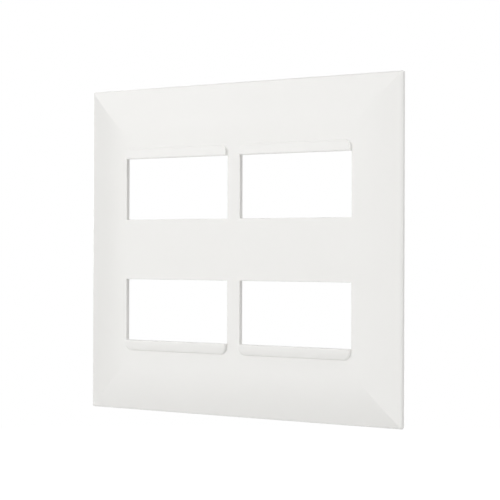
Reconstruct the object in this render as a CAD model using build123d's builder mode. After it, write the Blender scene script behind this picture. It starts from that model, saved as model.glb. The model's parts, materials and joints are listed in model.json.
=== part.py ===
from build123d import *
import os
from math import sqrt

# A moulded cover plate for a square wall box, with four windows of one wiring module each.
# X runs across the plate, Z runs up, and the room is on the -Y side.
# The wall plane is Y = 0 and the origin is at the plate's centre on that plane. Millimetres.

# Windows in columns and rows, with a bar between columns and a blank between rows
columns = 2
rows = 2
window_width = 45.0
window_height = 22.5
window_ease = 0.25
ease_angle = 45
bar_width = 5.4
blank_height = 22.1

# Outline and front form: a flat face with a rolled border on each side
side_margin = 18.1
end_margin = 26.2
plate_corner = 0.6
face_height = 4.0
border_width = 18.0
border_drop = 2.4
rim_round = 1.0

# Shell
wall = 1.7
rim_wall = 1.9

# Raised lips, above the upper windows and below the lower ones
lip_height = 3.9
lip_raise = 1.2
lip_fall = 0.55
lip_corner = 2.5
lip_round = 0.6

# Skirt that drops round the support frame, and the ribs that tie it to the rim
skirt_side_margin = 6.5
skirt_end_margin = 12.0
skirt_wall = 1.2
skirt_recess = 0.5
skirt_corner = 1.5
rib_wall = 1.0
rib_spacing = 24.0
end_rib_count = 4
side_rib_count = 4

# Low ribs that bear on the support frame, behind the bar and the blank
bearing_rib_height = 0.7
blank_rib_spacing = 13.0

# Snap hooks that latch behind the support frame, a pair above and a pair below each column
hook_count = 2
hook_margin = 8.6
hook_spacing = 28.0
hook_width = 6.0
hook_wall = 1.4
hook_foot = 0.5
hook_reach = 3.8
hook_catch = 1.3
hook_barb = 0.9
hook_land = 0.4
hook_lead = 0.4

# Notch in the rim's lower edge, for the tip of a screwdriver
notch_width = 8.0
notch_depth = 0.8
notch_reach = 5.0

# Sizes that follow
border_radius = (border_width**2 + border_drop**2) / (2 * border_drop)
inner_face = face_height - wall
column_pitch = window_width + bar_width
row_pitch = window_height + blank_height
windows_side = (columns * column_pitch - bar_width) / 2
windows_end = (rows * row_pitch - blank_height) / 2
plate_width = 2 * (windows_side + side_margin)
plate_height = 2 * (windows_end + end_margin)
skirt_width = 2 * (windows_side + skirt_side_margin)
skirt_height = 2 * (windows_end + skirt_end_margin)
hook_offset = windows_end + hook_margin


def cushion_section(front, back, radius, length, flat, corner):
    """Draw a cushion in section: a flat, with an arc on each side that leaves it smoothly."""
    roll = (length - flat) / 2
    edge = radius - sqrt(radius**2 - roll**2) - front
    with BuildSketch() as section:
        with BuildLine():
            face = Line((-flat / 2, -front), (flat / 2, -front))
            right = TangentArc(face @ 1, (length / 2, edge), tangent=face % 1)
            left = TangentArc(face @ 0, (-length / 2, edge), tangent=(face % 0) * -1)
            Polyline(right @ 1, (length / 2, back), (-length / 2, back), left @ 1)
        make_face()
        if corner:
            fillet(section.vertices().group_by(Axis.Y)[1], radius=corner)
    return section.sketch


def cushion(front, back, radius, inset, corner=0):
    """Make the solid under a cushion-shaped front, as two sections carried across each other.

    The four rolled borders meet in a mitre that runs in from each corner.
    """
    width = plate_width - 2 * inset
    height = plate_height - 2 * inset
    across = cushion_section(front, back, radius, width, plate_width - 2 * border_width, corner)
    upward = cushion_section(front, back, radius, height, plate_height - 2 * border_width, corner)
    with BuildPart() as body:
        with BuildSketch(Plane.XY):
            add(across)
        extrude(amount=height / 2, both=True)
        with BuildSketch(Plane.ZY):
            add(upward)
        extrude(amount=width / 2, both=True, mode=Mode.INTERSECT)
    return body.part


# The outside of the plate, down to the wall plane
with BuildPart() as outside:
    add(cushion(face_height, 0, border_radius, 0, rim_round))
    with BuildSketch(Plane.XZ):
        RectangleRounded(plate_width, plate_height, plate_corner)
    extrude(amount=face_height, mode=Mode.INTERSECT)

# The hollow behind it, which follows the front at the wall's thickness and opens at the back
hollow = cushion(inner_face, face_height, border_radius - wall, rim_wall)

# One lip, above a window in the middle of the plate: a crowned face with a rounded edge
with BuildPart() as lip:
    with BuildSketch(Plane.XZ.offset(inner_face + wall / 2)) as lip_outline:
        with Locations((0, windows_end)):
            Rectangle(window_width, lip_height, align=(Align.CENTER, Align.MIN))
        fillet(lip_outline.vertices().group_by(Axis.Y)[-1], radius=lip_corner)
    extrude(amount=wall / 2 + lip_raise)
    with BuildSketch(Plane.ZY):
        with BuildLine():
            crown = TangentArc(
                (windows_end, -face_height - lip_raise),
                (windows_end + lip_height, -face_height - lip_raise + lip_fall),
                tangent=(1, 0),
            )
            Polyline(crown @ 1, ((crown @ 1).X, 0), ((crown @ 0).X, 0), crown @ 0)
        make_face()
    extrude(amount=window_width / 2, both=True, mode=Mode.INTERSECT)
    crown_face = lip.faces().sort_by(Axis.Y)[0]
    fillet(crown_face.edges().sort_by(Axis.Z)[1:], radius=lip_round)
    inner_edge = lip.faces().sort_by(Axis.Z)[0].edges().sort_by(Axis.Y)[0]
    chamfer(inner_edge, length=window_ease)

# The eased mouths of the windows at the flat face, on every side that has no lip
with BuildPart() as mouths:
    with BuildSketch(Plane.XZ.offset(face_height - window_ease)):
        with GridLocations(column_pitch, row_pitch, columns, rows):
            Rectangle(window_width, window_height)
    extrude(amount=window_ease, taper=-ease_angle)
    Box(plate_width, 2 * face_height, 2 * windows_end, mode=Mode.INTERSECT)

# Skirt and ribs, drawn in plan over the whole plate and kept to the inside of its front
with BuildPart() as stiffening:
    with BuildSketch(Plane.XZ.offset(skirt_recess)):
        with GridLocations(rib_spacing, 0, end_rib_count, 1):
            Rectangle(rib_wall, plate_height)
        with GridLocations(0, rib_spacing, 1, side_rib_count):
            Rectangle(plate_width, rib_wall)
        RectangleRounded(
            skirt_width + 2 * skirt_wall, skirt_height + 2 * skirt_wall, skirt_corner + skirt_wall
        )
        RectangleRounded(skirt_width, skirt_height, skirt_corner, mode=Mode.SUBTRACT)
    extrude(amount=face_height - skirt_recess)
    with BuildSketch(Plane.XZ.offset(inner_face - bearing_rib_height)):
        for bar in range(1, columns):
            with Locations(((bar - columns / 2) * column_pitch, 0)):
                Rectangle(rib_wall, skirt_height)
        for blank in range(1, rows):
            with Locations((0, (blank - rows / 2) * row_pitch)):
                with GridLocations(0, blank_rib_spacing, 1, 2):
                    Rectangle(skirt_width, rib_wall)
    extrude(amount=bearing_rib_height + wall / 2)
    add(outside.part, mode=Mode.INTERSECT)

# One snap hook, at the top of the plate: a foot in the shell, an arm and a barb that faces outwards
with BuildPart() as hook:
    with BuildSketch(Plane.ZY):
        with BuildLine():
            near_side = hook_offset - hook_wall / 2
            far_side = hook_offset + hook_wall / 2
            Polyline(
                (near_side - hook_foot, -inner_face - wall / 2),
                (near_side - hook_foot, -inner_face),
                (near_side, -inner_face + hook_foot),
                (near_side, hook_reach),
                (far_side - hook_lead, hook_reach),
                (far_side + hook_barb, hook_catch + hook_land),
                (far_side + hook_barb, hook_catch),
                (far_side, hook_catch),
                (far_side, -inner_face + hook_foot),
                (far_side + hook_foot, -inner_face),
                (far_side + hook_foot, -inner_face - wall / 2),
                close=True,
            )
        make_face()
    extrude(amount=hook_width / 2, both=True)

with BuildPart() as cover_plate:
    add(outside.part)
    add(hollow, mode=Mode.SUBTRACT)
    add(stiffening.part)
    add(mouths.part, mode=Mode.SUBTRACT)
    # Lips and hooks stand upright along the top, and are turned over along the bottom
    for turn in (0, 180):
        with Locations(Rotation(0, turn, 0)):
            with GridLocations(column_pitch, 0, columns, 1):
                add(lip.part)
                with GridLocations(hook_spacing, 0, hook_count, 1):
                    add(hook.part)
    with BuildSketch(Plane.XZ):
        with GridLocations(column_pitch, row_pitch, columns, rows):
            Rectangle(window_width, window_height)
    extrude(amount=face_height + lip_raise, mode=Mode.SUBTRACT)
    with Locations((0, 0, -plate_height / 2)):
        Box(notch_width, 2 * notch_depth, 2 * notch_reach, mode=Mode.SUBTRACT)

os.makedirs("parts", exist_ok=True)
cover_plate.part.label = "cover_plate"
export_step(cover_plate.part, "parts/cover_plate.step")
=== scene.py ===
"""A moulded cover plate with four module windows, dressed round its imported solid.

X runs across the plate, Z runs up and the room is on the -Y side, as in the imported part.
The wall plane is Y = 0. Sizes are metres, and MM turns millimetres into them.
"""

import json
import logging
import math
from dataclasses import dataclass, field, replace
from enum import Enum

import bmesh
import bpy
import numpy as np
from bpy.types import ID, Material, Mesh, Node, NodeSocket, NodeTree, Object
from mathutils import Matrix, Vector


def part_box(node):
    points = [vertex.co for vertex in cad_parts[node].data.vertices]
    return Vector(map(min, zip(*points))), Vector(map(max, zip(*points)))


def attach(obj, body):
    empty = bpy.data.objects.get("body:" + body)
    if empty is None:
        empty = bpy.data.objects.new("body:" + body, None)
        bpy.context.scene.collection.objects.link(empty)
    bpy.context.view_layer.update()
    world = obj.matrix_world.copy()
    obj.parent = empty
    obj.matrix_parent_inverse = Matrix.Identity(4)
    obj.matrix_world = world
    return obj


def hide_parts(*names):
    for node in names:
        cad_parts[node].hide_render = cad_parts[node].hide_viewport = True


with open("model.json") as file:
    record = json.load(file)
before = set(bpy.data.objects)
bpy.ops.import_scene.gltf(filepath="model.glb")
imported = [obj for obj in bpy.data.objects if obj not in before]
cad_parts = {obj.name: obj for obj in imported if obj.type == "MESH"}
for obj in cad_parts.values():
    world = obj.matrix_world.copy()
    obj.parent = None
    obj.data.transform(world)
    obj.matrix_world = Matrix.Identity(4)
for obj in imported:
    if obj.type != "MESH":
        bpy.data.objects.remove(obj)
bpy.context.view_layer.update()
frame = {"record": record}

MM = 0.001
NODE = "cover_plate"
PHOTO_WIDTH = 500
QUARTER = math.pi / 2
BOTH_ENDS = np.array([-1.0, 1.0])
MERGE_DISTANCE = 0.0005 * MM
EASING_SEGMENTS = 2
WHITE = (1.0, 1.0, 1.0, 1.0)
Faces = list[list[int]]
Colour = tuple[float, float, float]

log = logging.getLogger("wall_plate")


class Skin(Enum):
    """Which side of the mould a face comes from, by its place in the plate's list of materials."""

    POLISHED = 0
    SATIN = 1


class Join(Enum):
    """How a form is put together with the plate."""

    ADD = "UNION"
    CUT = "DIFFERENCE"


@dataclass(frozen=True)
class Form:
    """A closed surface that is joined to the plate or cut out of it.

    Attributes:
        name: What the form is.
        points: Points in metres, one row each.
        faces: Lists of point numbers, one list for each face.
        skin: The side of the mould that its faces come from.
        join: Whether the plate gains it or loses it.
        eased: Width of the round on its edges, or 0.
    """

    name: str
    points: np.ndarray
    faces: Faces
    skin: Skin
    join: Join
    eased: float = 0.0

    def lowered(self) -> "Form":
        """Return the form turned over from the plate's top to its bottom, as (x, y, -z)."""
        return replace(self, name=self.name + "_lower", points=self.points * np.array([1, 1, -1]))

    def to_object(self) -> Object:
        """Make an object of the form, with its skin and its eased edges.

        Returns:
            The new object, at the origin.
        """
        mesh = outward_mesh(self.name, self.points, self.faces)
        mesh.polygons.foreach_set("material_index", np.full(len(mesh.polygons), self.skin.value))
        piece = put_in_scene(self.name, mesh)
        if self.eased:
            easing = piece.modifiers.new("eased_edges", "BEVEL")
            easing.width = self.eased
            easing.segments = EASING_SEGMENTS
            easing.limit_method = "ANGLE"
        return piece


def outward_mesh(name: str, points: np.ndarray, faces: Faces) -> Mesh:
    """Make a mesh whose doubles are merged and whose faces all point outwards.

    Args:
        name: The mesh's name.
        points: Points in metres, one row each.
        faces: Lists of point numbers, one list for each face.

    Returns:
        The mesh.
    """
    mesh = bpy.data.meshes.new(name)
    mesh.from_pydata(points, [], faces)
    builder = bmesh.new()
    builder.from_mesh(mesh)
    bmesh.ops.remove_doubles(builder, verts=builder.verts, dist=MERGE_DISTANCE)
    bmesh.ops.recalc_face_normals(builder, faces=builder.faces)
    builder.to_mesh(mesh)
    builder.free()
    return mesh


def put_in_scene(name: str, data: ID) -> Object:
    """Make an object and link it to the scene.

    Args:
        name: The object's name.
        data: Its mesh, light or camera.

    Returns:
        The object, at the origin.
    """
    piece = bpy.data.objects.new(name, data)
    bpy.context.scene.collection.objects.link(piece)
    return piece


def math_node(tree: NodeTree, operation: str, first: NodeSocket, second: NodeSocket) -> NodeSocket:
    """Put two values together in a Math node.

    Args:
        tree: The node tree that gets it.
        operation: What it does with the values.
        first: The first value.
        second: The second value.

    Returns:
        The node's value.
    """
    node = tree.nodes.new("ShaderNodeMath")
    node.operation = operation
    tree.links.new(first, node.inputs[0])
    tree.links.new(second, node.inputs[1])
    return node.outputs[0]


def bearing(azimuth: float, elevation: float) -> Vector:
    """Work out a direction as (sin a cos e, -cos a cos e, sin e).

    Args:
        azimuth: Degrees round from the front, towards +X.
        elevation: Degrees above the horizon.

    Returns:
        The direction away from the plate, of length 1.
    """
    around = math.radians(azimuth)
    above = math.radians(elevation)
    level = math.cos(above)
    return Vector((math.sin(around) * level, -math.cos(around) * level, math.sin(above)))


def wall_quads(index: np.ndarray, closed: bool) -> Faces:
    """Join each row of point numbers to the next with four-sided faces.

    Point j of a row joins point j + 1 of its row and the same two points of the next row.

    Args:
        index: Point numbers, one row for each loop.
        closed: Whether the last point of each row joins the first.

    Returns:
        The faces as lists of four point numbers.
    """
    turned = np.roll(index, -1, axis=1)
    quads = np.stack([index[:-1], turned[:-1], turned[1:], index[1:]], axis=-1)
    if not closed:
        quads = quads[:, :-1]
    return quads.reshape(-1, 4).tolist()


def tube(loops: np.ndarray, hoop: bool = False) -> tuple[np.ndarray, Faces]:
    """Make a closed surface from loops of points.

    Args:
        loops: Points, as (loops, points in a loop, 3).
        hoop: Whether the last loop joins the first. Otherwise a flat face closes each of them.

    Returns:
        The points and the faces.
    """
    index = np.arange(loops.shape[0] * loops.shape[1]).reshape(loops.shape[:2])
    if hoop:
        faces = wall_quads(np.vstack([index, index[:1]]), closed=True)
    else:
        faces = wall_quads(index, closed=True) + [index[0].tolist(), index[-1].tolist()]
    return loops.reshape(-1, 3), faces


def rectangle_loops(
    half_width: np.ndarray,
    half_height: np.ndarray,
    corner: np.ndarray,
    depth: np.ndarray,
    steps: int,
) -> np.ndarray:
    """Carry a profile round a rectangle whose corners are rounded.

    Each profile point gives one loop. Round a corner the loop is the corner's centre plus its
    radius times (cos a, sin a), with a going through a quarter turn.

    Args:
        half_width: Half of the rectangle's width at each profile point.
        half_height: Half of its height.
        corner: Its corner radius.
        depth: Its Y.
        steps: Steps in each corner.

    Returns:
        Points as (profile points, points in a loop, 3).
    """
    quarters = np.arange(4)
    turn = (quarters[:, None] * QUARTER + np.linspace(0, QUARTER, steps + 1)).ravel()
    side_x = np.repeat([1, -1, -1, 1], steps + 1)
    side_z = np.repeat([1, 1, -1, -1], steps + 1)
    x = (half_width - corner)[:, None] * side_x + corner[:, None] * np.cos(turn)
    z = (half_height - corner)[:, None] * side_z + corner[:, None] * np.sin(turn)
    return np.stack([x, np.broadcast_to(depth[:, None], x.shape), z], axis=-1)


def arc_fall(run: np.ndarray | float, radius: float) -> np.ndarray | float:
    """Return how far an arc has fallen from its tangent: radius less root(radius^2 - run^2)."""
    return radius - np.sqrt(radius**2 - np.clip(run, 0, None) ** 2)


@dataclass(frozen=True)
class Layout:
    """The plate's outline, its wall and its rolled borders.

    Attributes:
        half_width: Half of the plate's width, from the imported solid.
        half_height: Half of its height.
        face: How far the flat face stands off the wall plane.
        wall: Thickness of the shell.
        rim_wall: Thickness of the rim.
        border_width: Width of a rolled border, from the outline to the flat face.
        border_drop: How far a border falls towards the wall.
        rim_round: Radius where a border turns down into the rim.
        back_round: Radius of the rim's edge at the wall plane.
        corner: Radius of the outline's corners.
        crease: Radius across the mitre where two borders meet.
    """

    half_width: float
    half_height: float
    face: float = 4.0 * MM
    wall: float = 1.7 * MM
    rim_wall: float = 1.9 * MM
    border_width: float = 18.0 * MM
    border_drop: float = 2.4 * MM
    rim_round: float = 1.0 * MM
    back_round: float = 0.12 * MM
    corner: float = 0.6 * MM
    crease: float = 0.25 * MM

    @property
    def radius(self) -> float:
        """Return the border's radius, (width^2 + drop^2) / (2 drop)."""
        return (self.border_width**2 + self.border_drop**2) / (2 * self.border_drop)

    @property
    def inner_face(self) -> float:
        """Return how far the shell's inner face stands off the wall plane."""
        return self.face - self.wall

    @property
    def flat_half_width(self) -> float:
        """Return half of the flat face's width."""
        return self.half_width - self.border_width

    @property
    def flat_half_height(self) -> float:
        """Return half of the flat face's height."""
        return self.half_height - self.border_width

    def inner_depth(self, reach: np.ndarray | float) -> np.ndarray | float:
        """Return the Y of the shell's inner face at a distance out from the flat's edge."""
        return -self.inner_face + arc_fall(reach, self.radius - self.wall)


@dataclass(frozen=True)
class Shell:
    """The cushion-shaped front with its rolled borders, and the hollow behind it.

    Attributes:
        layout: The plate's sizes.
        border_steps: Steps across a border.
        round_steps: Steps round the rim's edges.
        corner_steps: Steps round a corner.
        overrun: How far the hollow's cutter goes past the wall plane.
    """

    layout: Layout
    border_steps: int = 20
    round_steps: int = 6
    corner_steps: int = 6
    overrun: float = 1.0 * MM

    def outside(self) -> Form:
        """Carry the border's profile round the plate.

        From the flat's edge the profile is an arc that leaves it smoothly, (R sin a, R - R cos a).
        A small arc with the same tangent then turns it down into the rim, and another ends it at
        the wall plane. The loops' corner radius is the outline's less the inset, and never under
        the crease's.

        Returns:
            The solid under the front.
        """
        lay = self.layout
        centre = lay.border_width - lay.rim_round
        turn_over = math.asin(centre / (lay.radius - lay.rim_round))
        roll = np.linspace(0, turn_over, self.border_steps + 1)
        edge = np.linspace(turn_over, QUARTER, self.round_steps + 1)[1:]
        foot = np.linspace(0, QUARTER, self.round_steps // 2 + 1)
        edge_depth = lay.radius - (lay.radius - lay.rim_round) * math.cos(turn_over)
        reach = np.concatenate(
            [
                lay.radius * np.sin(roll),
                centre + lay.rim_round * np.sin(edge),
                lay.border_width - lay.back_round + lay.back_round * np.cos(foot),
            ]
        )
        depth = np.concatenate(
            [
                lay.radius * (1 - np.cos(roll)) - lay.face,
                edge_depth - lay.rim_round * np.cos(edge) - lay.face,
                -lay.back_round + lay.back_round * np.sin(foot),
            ]
        )
        loops = rectangle_loops(
            lay.flat_half_width + reach,
            lay.flat_half_height + reach,
            np.maximum(lay.corner - (lay.border_width - reach), lay.crease),
            depth,
            self.corner_steps,
        )
        return Form("shell_outside", *tube(loops), Skin.POLISHED, Join.ADD)

    def hollow(self) -> Form:
        """Carry the inner face's profile round the plate.

        The arc is concentric with the border's, so the wall keeps its thickness, and it ends at
        the inside of the rim.

        Returns:
            The hollow, which goes on past the wall plane.
        """
        lay = self.layout
        span = lay.border_width - lay.rim_wall
        radius = lay.radius - lay.wall
        roll = np.linspace(0, math.asin(span / radius), self.border_steps + 1)
        reach = np.append(radius * np.sin(roll), span)
        depth = np.append(lay.inner_depth(radius * np.sin(roll)), self.overrun)
        loops = rectangle_loops(
            lay.flat_half_width + reach,
            lay.flat_half_height + reach,
            np.full(reach.shape, lay.crease),
            depth,
            self.corner_steps,
        )
        return Form("shell_hollow", *tube(loops), Skin.SATIN, Join.CUT)

    def forms(self) -> list[Form]:
        """Return the shell's forms in the order that they are joined."""
        return [self.outside(), self.hollow()]


@dataclass(frozen=True)
class Windows:
    """The four windows, each with an eased mouth.

    Attributes:
        layout: The plate's sizes.
        centres: Window centres as (x, z).
        lip_front: How far a lip's front stands off the wall plane.
        width: Width of a window.
        height: Height of a window.
        ease: Radius of a mouth's edge.
        ease_steps: Steps round that edge.
        overrun: How far a cutter goes past what it cuts.
    """

    layout: Layout
    centres: np.ndarray
    lip_front: float
    width: float = 45.0 * MM
    height: float = 22.5 * MM
    ease: float = 0.25 * MM
    ease_steps: int = 4
    overrun: float = 1.0 * MM

    def flare(self, front: float, depth: np.ndarray) -> np.ndarray:
        """Return how far a mouth stands outside its window at each Y, as a quarter round."""
        # Behind the round the rise is nothing, and in front of it the radius
        return arc_fall(np.clip(self.ease - front - depth, 0, self.ease), self.ease)

    def cutter(self, number: int, x: float, z: float) -> Form:
        """Make one window's cutter, from loops that widen at the flat face and at the lip.

        The lip stands on the side away from the plate's middle, and only that side widens at the
        lip's front. The other three widen at the flat face.

        Args:
            number: The window's number, for its name.
            x: Its centre's X.
            z: Its centre's Z.

        Returns:
            The cutter.
        """
        turn = np.linspace(0, QUARTER, self.ease_steps + 1)
        rise = self.ease * (np.sin(turn) - 1)
        fronts = np.array([self.layout.face, self.lip_front])
        rounds = (-rise - fronts[:, None]).ravel()
        depth = np.concatenate([[self.overrun], rounds, [-self.lip_front - self.overrun]])
        at_face = self.flare(self.layout.face, depth)
        at_lip = self.flare(self.lip_front, depth)
        outward = np.sign(z)
        right = self.width / 2 + at_face
        far = self.height / 2 + at_lip
        near = self.height / 2 + at_face
        across = np.stack([right, -right, -right, right], axis=-1) + x
        up = np.stack([far, far, -near, -near], axis=-1) * outward + z
        loops = np.stack([across, np.broadcast_to(depth[:, None], across.shape), up], axis=-1)
        return Form(f"window_{number}", *tube(loops), Skin.SATIN, Join.CUT)

    def forms(self) -> list[Form]:
        """Return the four cutters."""
        return [self.cutter(number, x, z) for number, (x, z) in enumerate(self.centres, 1)]


@dataclass(frozen=True)
class Lip:
    """A raised lip along the outer side of a window, with a crowned front and rounded edges.

    Attributes:
        layout: The plate's sizes.
        front: How far its front stands off the wall plane.
        width: Its width, the window's.
        height: Its height.
        fall: How far the crown falls from the window to the far edge.
        corner: Radius of its two far corners, seen from the front.
        edge: Radius of its front edges.
        overlap: How far it starts inside the window, which cuts it back.
        steps: Steps round an edge or a corner.
    """

    layout: Layout
    front: float
    width: float = 45.0 * MM
    height: float = 3.9 * MM
    fall: float = 0.55 * MM
    corner: float = 2.5 * MM
    edge: float = 0.6 * MM
    overlap: float = 0.4 * MM
    steps: int = 8

    def crown(self, rise: np.ndarray) -> np.ndarray:
        """Return the crown's Y at a height above the window, which it leaves level, as an arc."""
        # The radius of an arc with that fall over that height is (height^2 + fall^2) / (2 fall)
        radius = (self.height**2 + self.fall**2) / (2 * self.fall)
        return -self.front + arc_fall(rise, radius)

    def at(self, number: int, x: float, window_end: float) -> Form:
        """Make one lip above a window.

        Its middle is a grid: row v has height z(v) and half-width w(v), and column u is at
        x = u w(v), so the grid's border is the outline less the edge radius. From that border the
        edge goes out along the outline's normal by r sin a and down by r (1 - cos a), and the
        sides then go straight down into the shell.

        Args:
            number: The lip's number, for its name.
            x: Its middle's X.
            window_end: Z of the window's end, where the lip starts.

        Returns:
            The lip as a closed form.
        """
        turn = np.linspace(0, QUARTER, self.steps + 1)
        bend = self.corner - self.edge
        straight = np.array([-self.overlap, 0.0, (self.height - self.corner) / 2])
        rise = np.concatenate([straight, self.height - self.corner + bend * np.sin(turn)])
        lean = np.concatenate([np.zeros(straight.shape), turn])
        half = self.width / 2 - self.corner + bend * np.cos(lean)
        share = np.linspace(-1, 1, self.steps + 1)
        middle_x = half[:, None] * share
        middle_z = np.broadcast_to(rise[:, None], middle_x.shape)

        border_x = np.concatenate([middle_x[:, 0], middle_x[-1, 1:-1], middle_x[::-1, -1]])
        border_z = np.concatenate([middle_z[:, 0], middle_z[-1, 1:-1], middle_z[::-1, -1]])
        out_x = np.concatenate([-np.cos(lean), np.zeros(self.steps - 1), np.cos(lean[::-1])])
        out_z = np.concatenate([np.sin(lean), np.ones(self.steps - 1), np.sin(lean[::-1])])
        out = np.append(self.edge * np.sin(turn[1:]), self.edge)
        band_x = border_x + out[:, None] * out_x
        band_z = border_z + out[:, None] * out_z
        edge_y = self.crown(band_z[:-1]) + (self.edge * (1 - np.cos(turn[1:])))[:, None]
        foot_y = np.full((1, border_x.size), -self.layout.inner_face - self.layout.wall / 2)
        band_y = np.vstack([edge_y, foot_y])

        middle = np.stack([middle_x, self.crown(middle_z), middle_z], axis=-1)
        band = np.stack([band_x, band_y, band_z], axis=-1)
        numbers = np.arange(middle_x.size).reshape(middle_x.shape)
        border = np.concatenate([numbers[:, 0], numbers[-1, 1:-1], numbers[::-1, -1]])
        rings = np.arange(band_x.size).reshape(band_x.shape) + middle_x.size
        faces = wall_quads(numbers, closed=False)
        faces += wall_quads(np.vstack([border, rings]), closed=False)
        faces.append(rings[-1].tolist())
        faces.append(rings[::-1, 0].tolist() + numbers[0].tolist() + rings[:, -1].tolist())
        points = np.concatenate([middle.reshape(-1, 3), band.reshape(-1, 3)])
        place = np.array([x, 0, window_end])
        return Form(f"lip_{number}", points + place, faces, Skin.POLISHED, Join.ADD)


@dataclass(frozen=True)
class Stiffening:
    """The skirt round the support frame, the ribs that tie it to the rim and the bearing ribs.

    Attributes:
        layout: The plate's sizes.
        inner_half_width: Half of the skirt's inner width.
        inner_half_height: Half of its inner height.
        skirt_wall: Thickness of the skirt.
        skirt_corner: Radius of the skirt's inner corners.
        recess: How far the skirt and its ribs stay behind the wall plane.
        rib_wall: Thickness of a rib.
        rib_spacing: Distance between ribs along a side.
        ribs_a_side: Ribs on each side of the plate.
        bearing_height: How far a bearing rib stands off the inner face.
        blank_spacing: Distance between the two bearing ribs behind the blank.
        edge: Radius of the free edges.
        root: How far a foot goes into the wall that carries it.
        stations: Places along a rib where its foot is worked out.
        edge_steps: Steps round a free edge.
        corner_steps: Steps round a corner of the skirt.
    """

    layout: Layout
    inner_half_width: float
    inner_half_height: float
    skirt_wall: float = 1.2 * MM
    skirt_corner: float = 1.5 * MM
    recess: float = 0.5 * MM
    rib_wall: float = 1.0 * MM
    rib_spacing: float = 24.0 * MM
    ribs_a_side: int = 4
    bearing_height: float = 0.7 * MM
    blank_spacing: float = 13.0 * MM
    edge: float = 0.2 * MM
    root: float = 0.7 * MM
    stations: int = 12
    edge_steps: int = 3
    corner_steps: int = 6

    def section(self, wall: float) -> tuple[np.ndarray, np.ndarray]:
        """Draw a wall's section: a rectangle whose two free edges are quarter rounds.

        Args:
            wall: The wall's thickness.

        Returns:
            The distance across from the wall's middle, and the drop from its free edge. The two
            points of its foot have an endless drop.
        """
        turn = np.linspace(0, QUARTER, self.edge_steps + 1)
        across = wall / 2 - self.edge + self.edge * np.sin(turn)
        drop = self.edge - self.edge * np.cos(turn)
        return (
            np.concatenate([[-wall / 2], -across[::-1], across, [wall / 2]]),
            np.concatenate([[np.inf], drop[::-1], drop, [np.inf]]),
        )

    def skirt(self) -> Form:
        """Carry the skirt's section round a rectangle.

        Returns:
            The skirt, with its foot inside the shell's wall.
        """
        across, drop = self.section(self.skirt_wall)
        offset = across + self.skirt_wall / 2
        foot = -self.layout.inner_face - self.root
        loops = rectangle_loops(
            self.inner_half_width + offset,
            self.inner_half_height + offset,
            self.skirt_corner + offset,
            np.maximum(-self.recess - drop, foot),
            self.corner_steps,
        )
        return Form("skirt", *tube(loops, hoop=True), Skin.SATIN, Join.ADD)

    def rib(
        self,
        name: str,
        along: np.ndarray,
        foot: np.ndarray,
        top: float,
        place: float,
        upright: bool,
    ) -> Form:
        """Carry a rib's section along a straight line, down to a foot that may change on the way.

        Args:
            name: What the rib is.
            along: Places along the rib.
            foot: The foot's Y at each place.
            top: Y of the free edge.
            place: Where the rib stands, across its length.
            upright: Whether it runs along Z rather than X.

        Returns:
            The rib.
        """
        across, drop = self.section(self.rib_wall)
        depth = np.maximum(top - drop, foot[:, None])
        sideways = np.broadcast_to(across + place, depth.shape)
        lengthways = np.broadcast_to(along[:, None], depth.shape)
        x, z = (sideways, lengthways) if upright else (lengthways, sideways)
        return Form(name, *tube(np.stack([x, depth, z], axis=-1)), Skin.SATIN, Join.ADD)

    def border_ribs(self) -> list[Form]:
        """Make the ribs behind the borders.

        Returns:
            The ribs, whose feet follow the shell's inner face.
        """
        lay = self.layout
        ribs = []
        places = (np.arange(self.ribs_a_side) - (self.ribs_a_side - 1) / 2) * self.rib_spacing
        for upright, inner, flat, outer in (
            (True, self.inner_half_height, lay.flat_half_height, lay.half_height),
            (False, self.inner_half_width, lay.flat_half_width, lay.half_width),
        ):
            ends = (inner + self.skirt_wall / 2, outer - lay.rim_wall / 2)
            along = np.linspace(*ends, self.stations)
            foot = lay.inner_depth(along - flat) - self.root
            for side in (1, -1):
                for place in places:
                    name = f"rib_{'end' if upright else 'side'}_{side}_{place / MM:.0f}"
                    ribs.append(self.rib(name, side * along, foot, -self.recess, place, upright))
        return ribs

    def bearing_ribs(self) -> list[Form]:
        """Make the low ribs behind the bar and the blank.

        Returns:
            The ribs, which bear on the support frame.
        """
        lay = self.layout
        top = -lay.inner_face + self.bearing_height
        ribs = []
        for upright, half, places in (
            (True, self.inner_half_height, (0.0,)),
            (False, self.inner_half_width, (-self.blank_spacing / 2, self.blank_spacing / 2)),
        ):
            along = BOTH_ENDS * (half + self.skirt_wall / 2)
            foot = np.full(along.shape, -lay.inner_face - self.root)
            for place in places:
                name = f"bearing_{'bar' if upright else 'blank'}_{place / MM:.0f}"
                ribs.append(self.rib(name, along, foot, top, place, upright))
        return ribs

    def forms(self) -> list[Form]:
        """Return the skirt and all the ribs."""
        return [self.skirt(), *self.border_ribs(), *self.bearing_ribs()]


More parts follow.
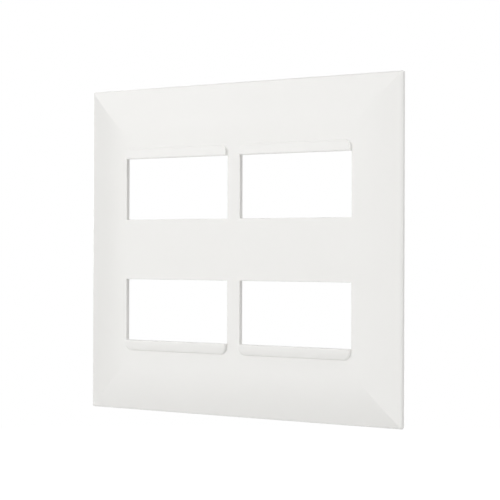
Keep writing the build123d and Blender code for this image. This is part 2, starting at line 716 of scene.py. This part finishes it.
@dataclass(frozen=True)
class SnapHook:
    """A hook that latches behind the support frame.

    Attributes:
        layout: The plate's sizes.
        reach: How far the arm goes past the wall plane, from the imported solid.
        width: Its width.
        thickness: Thickness of its arm.
        foot: How far its foot spreads.
        catch: Y of the barb's catching face.
        barb: How far the barb stands out.
        land: Length of the barb's outer face.
        lead: How far the slope cuts the arm's tip back from its outer side.
        eased: Width of the round on its edges.
    """

    layout: Layout
    reach: float
    width: float = 6.0 * MM
    thickness: float = 1.4 * MM
    foot: float = 0.5 * MM
    catch: float = 1.3 * MM
    barb: float = 0.9 * MM
    land: float = 0.4 * MM
    lead: float = 0.4 * MM
    eased: float = 0.12 * MM

    def at(self, number: int, x: float, z: float) -> Form:
        """Make one hook at the top of the plate, as an outline in Y and Z carried along X.

        Args:
            number: The hook's number, for its name.
            x: Its middle's X.
            z: Its arm's middle Z.

        Returns:
            The hook as a closed form.
        """
        near = -self.thickness / 2
        far = self.thickness / 2
        base = -self.layout.inner_face
        root = base - self.layout.wall / 2
        outline = (
            (near - self.foot, root),
            (near - self.foot, base),
            (near, base + self.foot),
            (near, self.reach),
            (far - self.lead, self.reach),
            (far + self.barb, self.catch + self.land),
            (far + self.barb, self.catch),
            (far, self.catch),
            (far, base + self.foot),
            (far + self.foot, base),
            (far + self.foot, root),
        )
        up, depth = np.array(outline).T
        across = BOTH_ENDS[:, None] * self.width / 2 + x
        loops = np.stack(np.broadcast_arrays(across, depth, up + z), axis=-1)
        return Form(f"hook_{number}", *tube(loops), Skin.SATIN, Join.ADD, self.eased)


@dataclass(frozen=True)
class Notch:
    """The notch in the rim's lower edge, for the tip of a screwdriver.

    Attributes:
        layout: The plate's sizes.
        width: Its width.
        depth: Its depth from the wall plane.
        reach: How far it goes in from the outline.
        corner: Radius of its inner corners.
        corner_steps: Steps round such a corner.
    """

    layout: Layout
    width: float = 8.0 * MM
    depth: float = 0.8 * MM
    reach: float = 5.0 * MM
    corner: float = 0.2 * MM
    corner_steps: int = 3

    def form(self) -> Form:
        """Carry the notch's section in along Z: a slot that opens at the wall plane.

        Its two inner corners are quarter rounds.

        Returns:
            The notch's cutter.
        """
        turn = np.linspace(0, QUARTER, self.corner_steps + 1)
        side = self.width / 2 - self.corner + self.corner * np.cos(turn)
        deep = -self.depth + self.corner - self.corner * np.sin(turn)
        x = np.concatenate([[self.width / 2], side, -side[::-1], [-self.width / 2]])
        y = np.concatenate([[self.depth], deep, deep[::-1], [self.depth]])
        z = -self.layout.half_height + BOTH_ENDS[:, None] * self.reach
        loops = np.stack(np.broadcast_arrays(x, y, z), axis=-1)
        return Form("notch", *tube(loops), Skin.SATIN, Join.CUT)


@dataclass(frozen=True)
class EjectorMarks:
    """The shallow round marks that the mould's ejector pins leave on the inner face.

    Attributes:
        layout: The plate's sizes.
        places: Mark centres as (x, z).
        radius: Radius of a pin.
        depth: How deep a pin's mark is.
        steps: Points round a mark.
        overrun: How far a cutter goes past the inner face.
    """

    layout: Layout
    places: np.ndarray
    radius: float = 2.0 * MM
    depth: float = 0.12 * MM
    steps: int = 40
    overrun: float = 0.2 * MM

    def forms(self) -> list[Form]:
        """Make one disc for each mark: a circle, (r cos a, r sin a), carried along Y.

        Returns:
            The marks' cutters.
        """
        turn = np.linspace(0, 2 * math.pi, self.steps, endpoint=False)
        depth = -self.layout.inner_face + np.array([-self.depth, self.overrun])[:, None]
        discs = []
        for number, (x, z) in enumerate(self.places, 1):
            across = x + self.radius * np.cos(turn)
            up = z + self.radius * np.sin(turn)
            loops = np.stack(np.broadcast_arrays(across, depth, up), axis=-1)
            discs.append(Form(f"ejector_mark_{number}", *tube(loops), Skin.SATIN, Join.CUT))
        return discs


class MouldTexture:
    """A shader node group that gives a moulded surface its fine grain and its slow waviness."""

    def __init__(self) -> None:
        """Build the group once, from noise on object coordinates."""
        tree = bpy.data.node_groups.new("mould_texture", "ShaderNodeTree")
        self.tree = tree
        for title in ("Grain Scale", "Grain Height", "Wave Scale", "Wave Height"):
            tree.interface.new_socket(name=title, in_out="INPUT", socket_type="NodeSocketFloat")
        for title in ("Height", "Grain", "Cloud"):
            tree.interface.new_socket(name=title, in_out="OUTPUT", socket_type="NodeSocketFloat")
        inputs = tree.nodes.new("NodeGroupInput")
        outputs = tree.nodes.new("NodeGroupOutput")
        where = tree.nodes.new("ShaderNodeTexCoord")
        grain = self.noise(where, inputs, "Grain Scale", detail=2.0)
        wave = self.noise(where, inputs, "Wave Scale", detail=1.0)
        raised_grain = math_node(tree, "MULTIPLY", grain, inputs.outputs["Grain Height"])
        raised_wave = math_node(tree, "MULTIPLY", wave, inputs.outputs["Wave Height"])
        height = math_node(tree, "ADD", raised_grain, raised_wave)
        tree.links.new(height, outputs.inputs["Height"])
        tree.links.new(grain, outputs.inputs["Grain"])
        tree.links.new(wave, outputs.inputs["Cloud"])

    def noise(self, where: Node, inputs: Node, scale: str, detail: float) -> NodeSocket:
        """Add one noise texture on object coordinates.

        Args:
            where: The texture coordinate node.
            inputs: The group's input node.
            scale: Name of the input that sets its scale.
            detail: Its detail.

        Returns:
            The noise's value, from 0 to 1.
        """
        node = self.tree.nodes.new("ShaderNodeTexNoise")
        node.inputs["Detail"].default_value = detail
        self.tree.links.new(where.outputs["Object"], node.inputs["Vector"])
        self.tree.links.new(inputs.outputs[scale], node.inputs["Scale"])
        return node.outputs["Fac"]


@dataclass(frozen=True)
class MouldedFinish:
    """A finish of white moulded plastic.

    Attributes:
        name: The material's name.
        light: The plastic's colour where it is lightest.
        dark: Its colour where the cloudiness is darkest.
        smooth: Lowest roughness.
        rough: Highest roughness.
        grain_scale: Grains to the metre.
        grain_height: Share of the bump that is grain.
        wave_scale: Waves to the metre.
        wave_height: Share of the bump that is waviness.
        relief: Height of the bump.
        gloss: Index of refraction.
    """

    name: str
    light: Colour
    dark: Colour
    smooth: float
    rough: float
    grain_scale: float
    grain_height: float
    wave_scale: float
    wave_height: float
    relief: float
    gloss: float = 1.5

    def material(self, texture: MouldTexture) -> Material:
        """Build the material round the shared texture.

        Args:
            texture: The node group for grain and waviness.

        Returns:
            The material.
        """
        material = bpy.data.materials.new(self.name)
        material.use_nodes = True
        tree = material.node_tree
        shader = next(node for node in tree.nodes if node.type == "BSDF_PRINCIPLED")
        shader.inputs["IOR"].default_value = self.gloss
        group = tree.nodes.new("ShaderNodeGroup")
        group.node_tree = texture.tree
        group.inputs["Grain Scale"].default_value = self.grain_scale
        group.inputs["Grain Height"].default_value = self.grain_height
        group.inputs["Wave Scale"].default_value = self.wave_scale
        group.inputs["Wave Height"].default_value = self.wave_height
        tint = tree.nodes.new("ShaderNodeMix")
        tint.data_type = "RGBA"
        tint.inputs["A"].default_value = (*self.dark, 1)
        tint.inputs["B"].default_value = (*self.light, 1)
        tree.links.new(group.outputs["Cloud"], tint.inputs["Factor"])
        tree.links.new(tint.outputs["Result"], shader.inputs["Base Color"])
        sheen = tree.nodes.new("ShaderNodeMapRange")
        sheen.inputs["To Min"].default_value = self.smooth
        sheen.inputs["To Max"].default_value = self.rough
        tree.links.new(group.outputs["Grain"], sheen.inputs["Value"])
        tree.links.new(sheen.outputs["Result"], shader.inputs["Roughness"])
        bump = tree.nodes.new("ShaderNodeBump")
        bump.inputs["Distance"].default_value = self.relief
        tree.links.new(group.outputs["Height"], bump.inputs["Height"])
        tree.links.new(bump.outputs["Normal"], shader.inputs["Normal"])
        return material


@dataclass
class CoverPlate:
    """The whole moulding, in one piece.

    Attributes:
        low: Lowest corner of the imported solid.
        high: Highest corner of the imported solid.
        window_centres: Window centres as (x, z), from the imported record.
        skirt_side_margin: From the outer windows' sides to the skirt.
        skirt_end_margin: From the windows' ends to the skirt.
        hook_margin: From the windows' ends to the hooks.
        hook_spacing: Distance between the two hooks of a column.
        mark_height: From the middle to the upper and lower ejector marks.
        sharp_angle: Edges that turn by more than this stay sharp.
        flat_lead: How far large faces lead the shading, from 1 to 100, where 50 is even.
        layout: The sizes that the forms share.
        windows: The windows.
    """

    low: Vector
    high: Vector
    window_centres: np.ndarray
    skirt_side_margin: float = 6.5 * MM
    skirt_end_margin: float = 12.0 * MM
    hook_margin: float = 8.6 * MM
    hook_spacing: float = 28.0 * MM
    mark_height: float = 39.5 * MM
    sharp_angle: float = math.radians(32)
    flat_lead: int = 100
    layout: Layout = field(init=False)
    windows: Windows = field(init=False)

    def __post_init__(self) -> None:
        """Work out the sub-assemblies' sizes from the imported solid."""
        self.layout = Layout(self.high.x, self.high.z)
        self.windows = Windows(self.layout, self.window_centres, -self.low.y)

    def forms(self) -> list[Form]:
        """Make every form of the moulding.

        Returns:
            The forms, in the order that they are joined.
        """
        windows_side = abs(self.window_centres[:, 0]).max() + self.windows.width / 2
        windows_end = abs(self.window_centres[:, 1]).max() + self.windows.height / 2
        columns = sorted(set(self.window_centres[:, 0].tolist()))
        lip = Lip(self.layout, -self.low.y)
        hook = SnapHook(self.layout, self.high.y)
        stiffening = Stiffening(
            self.layout, windows_side + self.skirt_side_margin, windows_end + self.skirt_end_margin
        )
        upper = [lip.at(number, x, windows_end) for number, x in enumerate(columns, 1)]
        hook_places = [x + side * self.hook_spacing / 2 for x in columns for side in (-1, 1)]
        hook_z = windows_end + self.hook_margin
        upper += [hook.at(number, x, hook_z) for number, x in enumerate(hook_places, 1)]
        lower = [form.lowered() for form in upper]
        mark_places = [(x, side * self.mark_height) for x in columns for side in (-1, 0, 1)]
        marks = EjectorMarks(self.layout, np.array(mark_places))
        shell = Shell(self.layout).forms()
        cuts = [*self.windows.forms(), *marks.forms(), Notch(self.layout).form()]
        return [*shell, *stiffening.forms(), *upper, *lower, *cuts]

    def build(self) -> Object:
        """Join the forms into one closed mesh.

        Returns:
            The plate's object, with its place in its mesh.
        """
        first, *others = self.forms()
        body = first.to_object()
        tools = []
        for form in others:
            tool = form.to_object()
            join = body.modifiers.new(form.name, "BOOLEAN")
            join.operation = form.join.value
            join.solver = "MANIFOLD"
            join.object = tool
            tools.append(tool)
        depsgraph = bpy.context.evaluated_depsgraph_get()
        mesh = bpy.data.meshes.new_from_object(body.evaluated_get(depsgraph))
        for scrap in (body, *tools):
            bpy.data.objects.remove(scrap)
        name = NODE + "_moulding"
        mesh.name = name
        mesh.shade_smooth()
        mesh.set_sharp_from_angle(angle=self.sharp_angle)
        plate = put_in_scene(name, mesh)
        shading = plate.modifiers.new("even_shading", "WEIGHTED_NORMAL")
        shading.keep_sharp = True
        shading.weight = self.flat_lead
        return plate

    def dress(self, plate: Object) -> None:
        """Give the faces from the polished side of the mould one finish, and the rest the other, a
        darker copy whose extra darkness is painted shade.

        Args:
            plate: The plate's object.
        """
        texture = MouldTexture()
        front = MouldedFinish(
            name="white_plastic_polished",
            light=(0.842, 0.836, 0.817),
            dark=(0.832, 0.826, 0.807),
            smooth=0.28,
            rough=0.36,
            grain_scale=7000.0,
            grain_height=0.5,
            wave_scale=70.0,
            wave_height=2.0,
            relief=0.002 * MM,
        )
        # The satin side is the same plastic in a darker colour: painted shade on the window walls,
        # the hollow, the ribs and the hooks, over its real rougher finish.
        back = MouldedFinish(
            name="white_plastic_satin_painted_shade",
            light=(0.812, 0.806, 0.787),
            dark=(0.792, 0.786, 0.767),
            smooth=0.45,
            rough=0.6,
            grain_scale=4000.0,
            grain_height=1.0,
            wave_scale=90.0,
            wave_height=1.0,
            relief=0.006 * MM,
        )
        plate.data.materials.clear()
        for finish in (front, back):
            plate.data.materials.append(finish.material(texture))


@dataclass(frozen=True)
class Lamp:
    """A soft rectangular lamp that points at the plate's middle.

    Attributes:
        name: What the lamp is.
        azimuth: Degrees round from the front, towards +X.
        elevation: Degrees above the horizon.
        distance: Metres from the plate.
        width: Its width.
        height: Its height.
        power: Its power in watts.
    """

    name: str
    azimuth: float
    elevation: float
    distance: float
    width: float
    height: float
    power: float

    def build(self) -> Object:
        """Make the lamp at its distance along its bearing.

        Returns:
            The lamp.
        """
        data = bpy.data.lights.new(self.name, "AREA")
        data.shape = "RECTANGLE"
        data.size = self.width
        data.size_y = self.height
        data.energy = self.power
        away = bearing(self.azimuth, self.elevation)
        lamp = put_in_scene(self.name, data)
        lamp.location = away * self.distance
        lamp.rotation_euler = (-away).to_track_quat("-Z", "Y").to_euler()
        return lamp


@dataclass(frozen=True)
class Viewpoint:
    """The camera's place, as the photograph's view of the plate gives it.

    Attributes:
        aim: The point on the face that it looks at.
        azimuth: Degrees round from the front, towards +X.
        climb: Degrees that it looks upwards.
        roll: Degrees that the picture is turned.
        distance: From the aim to the camera.
        focal_pixels: Focal length in pixels of the photograph's frame.
        sensor: Width of the sensor in millimetres.
        nearest: Nearest distance that it shows.
    """

    aim: tuple[float, float, float] = (7.06 * MM, -4.0 * MM, -0.12 * MM)
    azimuth: float = 32.892
    climb: float = 0.015
    roll: float = 0.15
    distance: float = 519.72 * MM
    focal_pixels: float = 1475.0
    sensor: float = 36.0
    nearest: float = 10.0 * MM

    def build(self) -> Object:
        """Make the camera and its lens.

        Returns:
            The camera.
        """
        yaw = math.radians(self.azimuth)
        roll = math.radians(self.roll)
        forward = -bearing(self.azimuth, -self.climb)
        right = Vector((math.cos(yaw), math.sin(yaw), 0))
        up = right.cross(forward)
        rolled_right = right * math.cos(roll) + up * math.sin(roll)
        rolled_up = up * math.cos(roll) - right * math.sin(roll)
        data = bpy.data.cameras.new("photo_view")
        data.sensor_width = self.sensor
        data.lens = self.focal_pixels / PHOTO_WIDTH * self.sensor
        data.clip_start = self.nearest
        camera = put_in_scene("photo_view", data)
        turn = Matrix((rolled_right, rolled_up, -forward)).transposed().to_4x4()
        camera.matrix_world = Matrix.Translation(Vector(self.aim) - forward * self.distance) @ turn
        bpy.context.scene.camera = camera
        return camera


@dataclass(frozen=True)
class Studio:
    """The pale room round the plate: its floor, its light and its camera.

    Attributes:
        floor_depth: How far the floor is under the plate's middle.
        floor_radius: Radius of the floor.
        floor_hub: Radius of its innermost ring, as a share of that.
        floor_rings: Rings of points in it.
        floor_spokes: Points in each ring.
        floor_colour: Its colour.
        floor_glow: Strength of its glow where it is seen or mirrored, near the plate and far off.
        glow_reach: Distances from the plate's middle at which it has those strengths.
        ambient: Strength of the room's own light.
        viewpoint: The camera.
        lamps: The lamps.
    """

    floor_depth: float = 0.42
    floor_radius: float = 3.0
    floor_hub: float = 0.05
    floor_rings: int = 8
    floor_spokes: int = 64
    floor_colour: Colour = (0.8, 0.8, 0.79)
    floor_glow: tuple[float, float] = (0.5, 1.0)
    glow_reach: tuple[float, float] = (0.4, 1.5)
    ambient: float = 0.005
    viewpoint: Viewpoint = Viewpoint()
    lamps: tuple[Lamp, ...] = (
        Lamp("front_left", -30, 0, 1.4, 0.8, 0.8, 4.0),
        Lamp("front_middle", 0, 0, 1.4, 0.8, 0.8, 3.2),
        Lamp("front_right", 30, 0, 1.4, 0.8, 0.8, 2.65),
        Lamp("near_upper_left", -30, 30, 0.7, 0.5, 0.5, 1.3),
        Lamp("upper_left", -50, 40, 1.4, 0.8, 0.8, 1.0),
        Lamp("top_right", 60, 70, 1.4, 0.8, 0.8, 7.5),
        Lamp("low_left", -40, -18, 0.7, 0.3, 0.3, 0.08),
        Lamp("side_right", 90, 8, 0.9, 0.5, 0.5, 2.8),
        Lamp("rear_left", 245, 18, 1.4, 0.9, 0.9, 10.0),
        Lamp("rear_high", 180, 15, 1.4, 0.9, 0.9, 1.2),
        Lamp("rear_low", 180, -14, 1.4, 0.5, 0.5, 4.5),
    )

    def floor(self) -> Object:
        """Make the floor as rings and spokes, at (r cos a, r sin a) on one level.

        Returns:
            The floor.
        """
        around = np.linspace(0, 2 * math.pi, self.floor_spokes, endpoint=False)
        out = np.linspace(self.floor_hub, 1, self.floor_rings) * self.floor_radius
        x = out[:, None] * np.cos(around)
        y = out[:, None] * np.sin(around)
        points = np.stack([x, y, np.full(x.shape, -self.floor_depth)], axis=-1)
        index = np.arange(x.size).reshape(x.shape)
        faces = wall_quads(index, closed=True) + [index[0].tolist()]
        mesh = outward_mesh("floor", points.reshape(-1, 3), faces)
        mesh.materials.append(self.floor_material())
        floor = put_in_scene("floor", mesh)
        return floor

    def floor_material(self) -> Material:
        """Build the floor's material: pale and matt, with a glow where it is seen or mirrored.

        The lamps light the floor less far off, so the glow grows with distance. Together they
        come to white, and the plate's shadow stays on the floor.

        Returns:
            The material.
        """
        material = bpy.data.materials.new("pale_floor")
        material.use_nodes = True
        tree = material.node_tree
        output = next(node for node in tree.nodes if node.type == "OUTPUT_MATERIAL")
        tree.nodes.remove(next(node for node in tree.nodes if node.type == "BSDF_PRINCIPLED"))
        matt = tree.nodes.new("ShaderNodeBsdfDiffuse")
        matt.inputs["Color"].default_value = (*self.floor_colour, 1)
        where = tree.nodes.new("ShaderNodeTexCoord")
        away = tree.nodes.new("ShaderNodeVectorMath")
        away.operation = "LENGTH"
        tree.links.new(where.outputs["Object"], away.inputs[0])
        lift = tree.nodes.new("ShaderNodeMapRange")
        for title, (near, far) in (("From", self.glow_reach), ("To", self.floor_glow)):
            lift.inputs[title + " Min"].default_value = near
            lift.inputs[title + " Max"].default_value = far
        tree.links.new(away.outputs["Value"], lift.inputs["Value"])
        strength = math_node(tree, "MULTIPLY", lift.outputs["Result"], self.seen_share(tree))
        glow = tree.nodes.new("ShaderNodeEmission")
        tree.links.new(strength, glow.inputs["Strength"])
        both = tree.nodes.new("ShaderNodeAddShader")
        tree.links.new(matt.outputs[0], both.inputs[0])
        tree.links.new(glow.outputs[0], both.inputs[1])
        tree.links.new(both.outputs[0], output.inputs["Surface"])
        return material

    def seen_share(self, tree: NodeTree) -> NodeSocket:
        """Tell the rays that show a thing from those that light others with it.

        Args:
            tree: The node tree that asks.

        Returns:
            A value that is 1 for rays from the camera, a mirror or glass, and 0 for the rest.
        """
        path = tree.nodes.new("ShaderNodeLightPath")
        seen = path.outputs["Is Camera Ray"]
        for other in ("Is Glossy Ray", "Is Transmission Ray"):
            seen = math_node(tree, "MAXIMUM", seen, path.outputs[other])
        return seen

    def room(self) -> None:
        """Light the room evenly, and show it at a strength of 1 where it is seen or mirrored."""
        world = bpy.data.worlds.new("room")
        bpy.context.scene.world = world
        world.use_nodes = True
        tree = world.node_tree
        light = next(node for node in tree.nodes if node.type == "BACKGROUND")
        light.inputs["Color"].default_value = WHITE
        strength = tree.nodes.new("ShaderNodeMapRange")
        strength.inputs["To Min"].default_value = self.ambient
        tree.links.new(self.seen_share(tree), strength.inputs["Value"])
        tree.links.new(strength.outputs["Result"], light.inputs["Strength"])

    def build(self) -> list[Object]:
        """Set up the floor, the room's light, the lamps and the camera.

        Returns:
            The floor, the lamps and the camera.
        """
        pieces = [self.floor()]
        self.room()
        pieces += [lamp.build() for lamp in self.lamps]
        pieces.append(self.viewpoint.build())
        bpy.context.scene.view_settings.view_transform = "Standard"
        return pieces


def window_centres() -> np.ndarray:
    """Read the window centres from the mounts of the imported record.

    Returns:
        The centres as (x, z), one row each.
    """
    mounts = frame["record"]["mounts"]
    places = [mount["pos_m"] for mount in mounts if mount["name"].endswith("_window")]
    return np.array(places)[:, [0, 2]]


def main() -> None:
    """Build the plate and the studio, and report each piece."""
    logging.basicConfig(level=logging.INFO, format="%(name)s: %(message)s")
    low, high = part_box(NODE)
    cover = CoverPlate(low, high, window_centres())
    plate = cover.build()
    cover.dress(plate)
    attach(plate, "root")
    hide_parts(NODE)
    log.info("%s: %d faces", plate.name, len(plate.data.polygons))
    for piece in Studio().build():
        log.info("studio: %s", piece.name)


if __name__ == "__main__":
    main()
